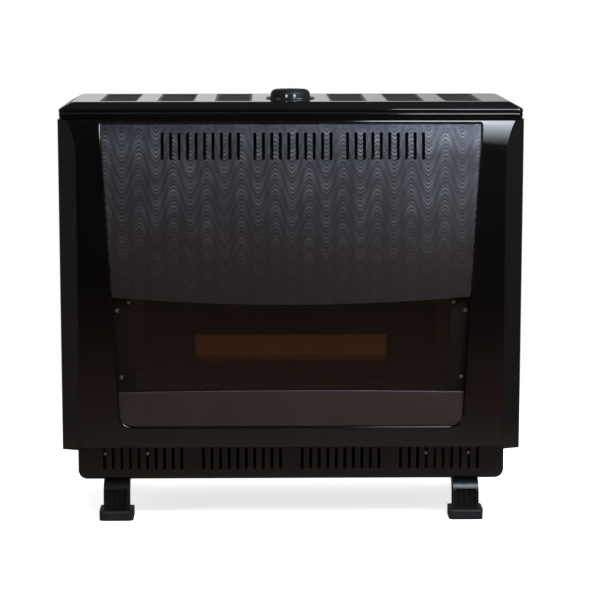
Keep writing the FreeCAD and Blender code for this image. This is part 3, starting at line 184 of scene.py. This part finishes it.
def coated(name, dark, light, rough, peel, specular=0.5):
    """Sheet with a baked coat: slight colour drift, uneven gloss and an orange-peel surface."""
    shader = Shader(name)
    shader.set(Specular_IOR_Level=specular)
    shader.colour(shader.tint(shader.noise(9.0), dark, light))
    shader.roughness(shader.span(shader.noise(30.0), rough, over=(0.3, 0.7)))
    shader.normal(shader.bump(shader.noise(900.0, detail=2.0), peel))
    return shader


def wavy_lines(shader, rise):
    """Strength of the panel's close wavy lines: in slow bands, with painted glint that makes them clearest
    on the crests and high up.

    rise is the share of the panel's height, from 0 at its lower edge to 1 at its upper edge.
    """
    wave_length = 0.0508
    wave_phase = -1.74
    wave_reach = -0.024
    line_pitch = 0.0062
    band_pitch = 0.0255
    drift_reach = 0.012
    x, _, z = shader.axes()
    wave = shader.math("SINE", shader.math("MULTIPLY_ADD", x, 2.0 * math.pi / wave_length, wave_phase))
    drift = shader.math("MULTIPLY", shader.noise(7.0, detail=1.0), drift_reach)
    level = shader.math("ADD", shader.math("MULTIPLY_ADD", wave, wave_reach, z), drift)
    ridge = shader.math("SINE", shader.math("MULTIPLY", level, 2.0 * math.pi / line_pitch))
    band = shader.math("SINE", shader.math("MULTIPLY", level, 2.0 * math.pi / band_pitch))
    return shader.fold(
        "MULTIPLY",
        shader.span(ridge, (0.0, 1.0), over=(-1.0, 1.0)),
        shader.span(band, (0.5, 1.2), over=(-1.0, 1.0)),
        # painted glint: the lines are stronger on the wave's crests and towards the panel's upper edge,
        # where they catch the top light
        shader.span(shader.math("ABSOLUTE", wave), (0.5, 1.0), over=(0.25, 0.9)),
        shader.span(rise, (0.1, 1.0), over=(0.093, 0.87), smooth=True),
        shader.span(shader.noise(26.0, detail=2.0), (0.45, 1.0), over=(0.35, 0.65)))


def textured_panel():
    """Metallic coat with embossed wavy lines, with painted light in its colour: a painted warm floor
    reflection below, painted bluish top light above and painted shade along the top fold.
    """
    low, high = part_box("upper_front_panel")
    shader = Shader("textured_panel")
    _, _, z = shader.axes()
    rise = shader.span(z, (0.0, 1.0), over=(low[2], high[2]))
    line = wavy_lines(shader, rise)
    # painted light: bluish top light painted into the colour, stronger towards the panel's upper edge
    painted_cool_light = shader.span(rise, (0.0, 1.0), over=(0.167, 0.98), smooth=True)
    # painted shade: the colour is darkened along the top fold, where the crown would catch the light
    painted_bend_shade = shader.span(rise, (0.0, 0.66), over=(0.855, 0.973))
    # painted reflection: the brown stands for the warm floor and room mirrored low down, with a random
    # drift in tone
    brown = shader.tint(shader.noise(5.0), (0.036, 0.029, 0.0285), (0.043, 0.0345, 0.034))
    ground_with_painted_light = shader.tint(painted_cool_light, brown, (0.046, 0.047, 0.055))
    # painted glint: the embossed lines are lighter and bluish where they catch the top light
    coat = shader.tint(line, ground_with_painted_light, (0.19, 0.196, 0.224))
    shader.set(Metallic=0.92)
    shader.colour(shader.tint(painted_bend_shade, coat, (0.008, 0.008, 0.009)))
    shader.roughness(shader.span(shader.noise(60.0), (0.52, 0.58), over=(0.3, 0.7)))
    shader.normal(shader.bump(line, 0.0002, strength=0.7))
    return shader


def drawn_grain(shader, grain, rough, depth, stretch):
    """Fine grain of drawn or rolled metal, in its gloss and its surface."""
    fine = shader.noise(grain, detail=4.0, rough=0.6, where=shader.stretched(stretch))
    shader.roughness(shader.span(fine, rough, over=(0.25, 0.75)))
    shader.normal(shader.bump(fine, depth))


def metal(name, dark, light, rough, grain, depth=0.00006, stretch=(1.0, 1.0, 1.0)):
    """Bare metal with a grain and dull patches."""
    shader = Shader(name)
    shader.set(Metallic=1.0)
    shader.colour(shader.tint(shader.span(shader.noise(14.0), (0.0, 1.0), over=(0.3, 0.7)), dark, light))
    drawn_grain(shader, grain, rough, depth, stretch)
    return shader


def heat_tinted():
    """Stainless burner tube, darker and bluish towards its top, where it has been hot."""
    hot_depth = 0.014
    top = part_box("main_burner")[1][2]
    shader = Shader("burner_steel")
    shader.set(Metallic=1.0)
    _, _, z = shader.axes()
    hot = shader.span(z, (0.0, 1.0), over=(top - hot_depth, top), smooth=True)
    plain = shader.tint(shader.noise(14.0), (0.3, 0.27, 0.24), (0.46, 0.43, 0.4))
    shader.colour(shader.tint(hot, plain, (0.2, 0.17, 0.2)))
    drawn_grain(shader, grain=500.0, rough=(0.3, 0.5), depth=0.00006, stretch=(0.05, 1.0, 1.0))
    return shader


def galvanised():
    """Zinc-coated sheet with its crystal spangle."""
    shader = Shader("galvanised")
    shader.set(Metallic=1.0)
    cells = shader.add("ShaderNodeTexVoronoi")
    cells.inputs["Scale"].default_value = 105.0
    shader.link(shader.place, cells.inputs["Vector"])
    grey = shader.add("ShaderNodeRGBToBW")
    shader.link(cells.outputs["Color"], grey.inputs["Color"])
    shader.colour(shader.tint(grey.outputs["Val"], (0.47, 0.48, 0.49), (0.6, 0.61, 0.62)))
    shader.roughness(shader.span(grey.outputs["Val"], (0.3, 0.46)))
    shader.normal(shader.bump(shader.noise(260.0), 0.00008))
    return shader


def plastic(name, dark, light, rough, grain, depth, specular=0.5):
    """Moulded plastic with a fine eroded grain."""
    shader = Shader(name)
    shader.set(Specular_IOR_Level=specular)
    shader.colour(shader.tint(shader.noise(22.0), dark, light))
    shader.roughness(shader.span(shader.noise(80.0), rough, over=(0.3, 0.7)))
    shader.normal(shader.bump(shader.noise(grain, detail=2.0), depth))
    return shader


def moulded_foot():
    """Glossy black moulding with a duller, paler toe that stands on the floor."""
    toe_share = 0.25
    edge = 0.0005
    low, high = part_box("foot_front_left")
    toe_top = low[2] + toe_share * (high[2] - low[2])
    shader = Shader("foot_plastic")
    shader.set(Specular_IOR_Level=0.35)
    _, _, z = shader.axes()
    toe = shader.span(z, (1.0, 0.0), over=(toe_top - edge, toe_top + edge))
    black = shader.tint(shader.noise(22.0), (0.0036, 0.0036, 0.0042), (0.0052, 0.0053, 0.006))
    grey = shader.tint(shader.noise(60.0), (0.0068, 0.0078, 0.0086), (0.0092, 0.0104, 0.0114))
    shader.colour(shader.tint(toe, black, grey))
    shader.roughness(shader.span(toe, (0.3, 0.6)))
    shader.normal(shader.bump(shader.noise(1500.0, detail=2.0), 0.00003))
    return shader


def tinted_glass():
    """Dark brown glass with a faint haze."""
    shader = Shader("tinted_glass")
    shader.set(IOR=1.4, Transmission_Weight=1.0)
    shader.colour(shader.tint(shader.noise(4.0), (0.205, 0.13, 0.088), (0.235, 0.15, 0.103)))
    shader.roughness(shader.span(shader.noise(12.0), (0.0, 0.04), over=(0.35, 0.75)))
    return shader


def pane_glass():
    """Heat-stained mica pane: brown, cloudy, darker where the burner stands behind it."""
    burner_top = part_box("main_burner")[1][2]
    dark_below = burner_top + 0.004
    clear_above = burner_top + 0.01
    shader = Shader("pane_glass")
    shader.set(Specular_IOR_Level=0.4)
    _, _, z = shader.axes()
    clear = shader.span(z, (0.0, 1.0), over=(dark_below, clear_above))
    cloud = shader.tint(shader.noise(34.0, detail=4.0), (0.72, 0.49, 0.34), (0.95, 0.69, 0.51))
    shader.colour(shader.tint(clear, (0.37, 0.24, 0.165), cloud))
    shader.roughness(shader.span(shader.noise(20.0), (0.3, 0.5), over=(0.3, 0.7)))
    return shader


def fibre():
    """Pale woven gasket cord."""
    shader = Shader("gasket_fibre")
    weave = shader.noise(1400.0)
    shader.set(Roughness=0.95)
    shader.colour(shader.tint(weave, (0.5, 0.48, 0.42), (0.74, 0.72, 0.66)))
    shader.normal(shader.bump(weave, 0.0003))
    return shader


# One material for each slot of the record
slot_shaders = (
    coated("enamel", (0.0018, 0.0015, 0.0016), (0.0025, 0.0021, 0.0022), rough=(0.04, 0.07), peel=0.000006),
    coated("apron_enamel", (0.0172, 0.0082, 0.0058), (0.0205, 0.01, 0.0072), rough=(0.44, 0.54),
           peel=0.00003),
    coated("satin_black", (0.0048, 0.0036, 0.0026), (0.0065, 0.005, 0.0036), rough=(0.36, 0.48),
           peel=0.00002, specular=0.4),
    coated("heat_enamel", (0.0045, 0.0034, 0.0027), (0.0075, 0.0058, 0.0047), rough=(0.7, 0.85),
           peel=0.00012, specular=0.2),
    textured_panel(),
    tinted_glass(),
    pane_glass(),
    galvanised(),
    heat_tinted(),
    metal("zinc_screw", (0.34, 0.34, 0.33), (0.46, 0.46, 0.45), rough=(0.24, 0.38), grain=900.0),
    metal("bright_steel", (0.5, 0.5, 0.49), (0.66, 0.66, 0.65), rough=(0.2, 0.36), grain=700.0),
    metal("aluminium_cast", (0.5, 0.51, 0.52), (0.66, 0.67, 0.68), rough=(0.4, 0.56), grain=420.0,
          depth=0.0002),
    metal("aluminium_tube", (0.66, 0.67, 0.68), (0.78, 0.79, 0.8), rough=(0.24, 0.4), grain=600.0),
    metal("brass", (0.6, 0.44, 0.19), (0.75, 0.58, 0.29), rough=(0.22, 0.38), grain=800.0),
    metal("copper", (0.55, 0.26, 0.15), (0.74, 0.42, 0.28), rough=(0.26, 0.42), grain=700.0),
    metal("flue_steel", (0.5, 0.5, 0.5), (0.64, 0.64, 0.64), rough=(0.28, 0.44), grain=420.0,
          stretch=(1.0, 0.06, 1.0)),
    moulded_foot(),
    plastic("knob_plastic", (0.0042, 0.0042, 0.0044), (0.0058, 0.0058, 0.0061), rough=(0.5, 0.58),
            grain=1600.0, depth=0.00002, specular=0.2),
    plastic("bezel_plastic", (0.008, 0.008, 0.009), (0.012, 0.012, 0.0135), rough=(0.2, 0.32),
            grain=1600.0, depth=0.00002),
    plastic("lead_sleeve", (0.32, 0.05, 0.03), (0.42, 0.08, 0.05), rough=(0.5, 0.64), grain=900.0,
            depth=0.00006),
    plastic("electrode_ceramic", (0.76, 0.73, 0.66), (0.86, 0.84, 0.78), rough=(0.12, 0.22), grain=500.0,
            depth=0.00003),
    fibre(),
)
shaders = {shader.name: shader for shader in slot_shaders}
for entry in frame["record"]["subparts"]:
    mesh = nodes[entry["node"]].data
    mesh.materials.clear()
    mesh.materials.append(shaders[entry["material_slot"]].material)

# The two brackets stand close to the hot glass, so their coat has browned
browned = coated("browned_black", (0.0046, 0.0019, 0.0008), (0.006, 0.0026, 0.0012), rough=(0.5, 0.62),
                 peel=0.00003, specular=0.14)
for side in ("left", "right"):
    nodes[f"glass_bracket_{side}"].data.materials[0] = browned.material


# Return spring under the knob

def return_spring():
    """Copy of the spring's coil, fixed to the casing; the real coil shortens as the knob is pushed in."""
    coil = bpy.data.objects.new("return_spring", nodes["knob_spring"].data.copy())
    scene.collection.objects.link(coil)
    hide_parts("knob_spring")
    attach(coil, "casing")
    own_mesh(coil)


return_spring()


# New meshes

def mesh_object(name, form):
    """Object in the scene with the mesh of a finished form."""
    mesh = bpy.data.meshes.new(name)
    form.to_mesh(mesh)
    form.free()
    thing = bpy.data.objects.new(name, mesh)
    scene.collection.objects.link(thing)
    return thing


# Pale marks on the knob

mark_half_size = (0.0019, 0.0004, 0.0026)    # across, through and up
mark_height = 0.012                          # above the knob's underside
mark_inset = 0.0011                          # of the grip at that height, from the knob's widest edge
mark_places = (-0.0064, 0.0061)              # across from the knob's middle
# light grey finish of the two pale ovals on the knob
pale_mark = plastic("pale_mark", (0.28, 0.28, 0.275), (0.36, 0.36, 0.35), rough=(0.4, 0.5), grain=1200.0,
                     depth=0.00002)


def knob_mark(number, across):
    """Pale oval on the front of the knob's grip."""
    low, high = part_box("control_knob")
    radius = 0.5 * (high[0] - low[0]) - mark_inset
    turn = math.asin(across / radius)
    centre = (0.5 * (low[0] + high[0]) + across,
              0.5 * (low[1] + high[1]) - radius * math.cos(turn),
              low[2] + mark_height)
    form = bmesh.new()
    bmesh.ops.create_uvsphere(form, u_segments=20, v_segments=12, radius=1.0)
    bmesh.ops.scale(form, vec=mark_half_size, verts=form.verts)
    bmesh.ops.rotate(form, matrix=Matrix.Rotation(turn, 3, "Z"), verts=form.verts)
    bmesh.ops.translate(form, vec=centre, verts=form.verts)
    mark = mesh_object(f"knob_mark_{number}", form)
    mark.data.materials.append(pale_mark.material)
    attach(mark, "knob")


for number, across in enumerate(mark_places):
    knob_mark(number, across)


# Stage

def pale_floor():
    """Round pale floor that fades out into the background and is dim to everything but the camera."""
    radius = 1.3
    fade = (0.55, 1.2)
    glow = 0.7
    form = bmesh.new()
    bmesh.ops.create_circle(form, cap_ends=True, cap_tris=False, segments=96, radius=radius)
    floor = mesh_object("floor", form)
    shader = Shader("floor")
    seen = shader.add("ShaderNodeLightPath").outputs["Is Camera Ray"]
    pale = shader.tint(shader.noise(3.0), (0.9, 0.9, 0.9), (0.92, 0.92, 0.92))
    shader.colour(shader.tint(seen, (0.28, 0.225, 0.19), pale))
    shader.set(Roughness=0.9, Specular_IOR_Level=0.0, Emission_Color=(1.0, 1.0, 1.0, 1.0))
    shader.link(shader.math("MULTIPLY", seen, glow), shader.principled.inputs["Emission Strength"])
    length = shader.add("ShaderNodeVectorMath", operation="LENGTH")
    shader.link(shader.place, length.inputs[0])
    shown = shader.span(length.outputs["Value"], (1.0, 0.0), over=fade, smooth=True)
    shader.link(shown, shader.principled.inputs["Alpha"])
    floor.data.materials.append(shader.material)


def world_light():
    """White to the camera and lit behind the object, dim and warm low in front, as in a studio."""
    world = bpy.data.worlds.new("studio")
    scene.world = world
    world.use_nodes = True
    sky = NodeTree(world.node_tree, "Generated")
    x, y, z = sky.axes()
    across = sky.math("ABSOLUTE", x)
    path = sky.add("ShaderNodeLightPath").outputs
    white = sky.math("MAXIMUM", path["Is Camera Ray"], path["Is Transmission Ray"])

    def ramp(value, to, over):
        return sky.span(value, to, over, smooth=True)

    # Lit backdrop, brighter on the left; straight behind the object it starts at the horizon
    open_behind = sky.math("MAXIMUM", ramp(across, (0.0, 1.0), over=(0.15, 0.4)),
                           ramp(z, (0.0, 1.0), over=(-0.06, 0.02)))
    behind = sky.fold("MULTIPLY", ramp(y, (0.0, 1.0), over=(0.35, 0.75)),
                      ramp(z, (1.0, 0.0), over=(0.3, 0.55)), open_behind)
    backdrop = sky.math("MULTIPLY", behind, ramp(x, (0.72, 0.46), over=(0.0, 0.1)))

    # Light from low in front, from the ceiling and from both walls
    before = sky.math("MULTIPLY", ramp(y, (1.0, 0.0), over=(-0.75, -0.35)),
                      ramp(z, (0.38, 0.0), over=(-0.24, -0.13)))
    ceiling = ramp(z, (0.0, 0.1), over=(0.72, 0.9))
    right_wall = ramp(x, (0.0, 0.12), over=(0.7, 0.85))
    left_wall = ramp(x, (0.16, 0.0), over=(-0.85, -0.7))

    # Glossy surfaces mirror all of these, and matt ones see an even room
    mirrored = sky.fold("ADD", backdrop, before, ceiling, right_wall, left_wall)
    glossy = sky.math("MULTIPLY", mirrored, path["Is Glossy Ray"])
    room = sky.math("MULTIPLY_ADD", path["Is Diffuse Ray"], 0.6, 0.026)

    # Warm low down, white elsewhere
    above = sky.math("MAXIMUM", ramp(z, (0.0, 1.0), over=(-0.12, 0.02)),
                     ramp(across, (0.0, 0.7), over=(0.6, 0.8)))
    shade = sky.tint(sky.fold("MAXIMUM", white, behind, above), (1.0, 0.58, 0.44), (1.0, 1.0, 1.0))

    background = sky.add("ShaderNodeBackground")
    output = sky.add("ShaderNodeOutputWorld")
    sky.link(sky.fold("MAXIMUM", white, glossy, room), background.inputs["Strength"])
    sky.link(shade, background.inputs["Color"])
    sky.link(background.outputs["Background"], output.inputs["Surface"])


def aim(thing, place, target):
    """Puts a lamp or a card at its place and turns its face to the target."""
    thing.location = place
    thing.rotation_euler = (Vector(target) - Vector(place)).to_track_quat("-Z", "Y").to_euler()


def softbox(name, place, target, size, power, colour, spread=180.0):
    """Rectangular lamp with its spread in degrees."""
    light = bpy.data.lights.new(name, "AREA")
    light.shape = "RECTANGLE"
    light.size, light.size_y = size
    light.energy = power
    light.color = colour
    light.spread = math.radians(spread)
    lamp = bpy.data.objects.new(name, light)
    aim(lamp, place, target)
    scene.collection.objects.link(lamp)


def key_card(place, target, size, strength, colour):
    """Large glowing card whose light fades out towards its lower edge."""
    fade_power = 1.8
    width, height = size
    form = bmesh.new()
    bmesh.ops.create_grid(form, x_segments=1, y_segments=1, size=0.5)
    bmesh.ops.scale(form, vec=(width, height, 1.0), verts=form.verts)
    card = mesh_object("key_card", form)
    aim(card, place, target)
    card.visible_camera = False
    shader = Shader("key_card")
    glow = shader.add("ShaderNodeEmission")
    shader.feed(glow.inputs["Color"], colour)
    _, along, _ = shader.axes()
    fade = shader.span(along, (0.0, 1.0), over=(-0.5 * height, 0.4 * height))
    fade = shader.math("POWER", fade, fade_power)
    shader.link(shader.math("MULTIPLY", fade, strength), glow.inputs["Strength"])
    shader.link(glow.outputs["Emission"], shader.output.inputs["Surface"])
    card.data.materials.append(shader.material)


def camera(place, heading, tilt, roll, lens):
    """Camera in front of the object, with its angles in degrees and its lens in millimetres."""
    data = bpy.data.cameras.new("camera")
    data.sensor_width = 36.0
    data.lens = lens
    data.clip_end = 50.0
    body = bpy.data.objects.new("camera", data)
    pose = Matrix.Translation(place)
    for angle, axis in ((heading, "Z"), (90.0 + tilt, "X"), (roll, "Z")):
        pose = pose @ Matrix.Rotation(math.radians(angle), 4, axis)
    body.matrix_world = pose
    scene.collection.objects.link(body)
    scene.camera = body


pale_floor()
world_light()
key_card(place=(0.67, -1.0, 1.29), target=(0.2, -0.1, 0.55), size=(0.8, 1.2), strength=20.0,
         colour=(0.8, 0.9, 1.0))
softbox("side", place=(0.8, -0.75, 1.3), target=(0.25, -0.14, 0.56), size=(0.3, 0.5), power=14.0,
        colour=(0.78, 0.89, 1.0))
softbox("accent", place=(0.85, -0.75, 1.3), target=(0.3, -0.14, 0.59), size=(0.1, 0.1), power=0.21,
        colour=(0.84, 0.95, 1.0), spread=17.0)
softbox("fill", place=(-2.6, -1.6, 1.4), target=(0.0, 0.0, 0.35), size=(0.5, 1.8), power=12.0,
        colour=(1.0, 0.9, 0.8))
camera(place=(-0.045, -3.3482, 0.8332), heading=-1.034, tilt=-8.714, roll=0.012, lens=129.24)
scene.view_settings.view_transform = "Standard"
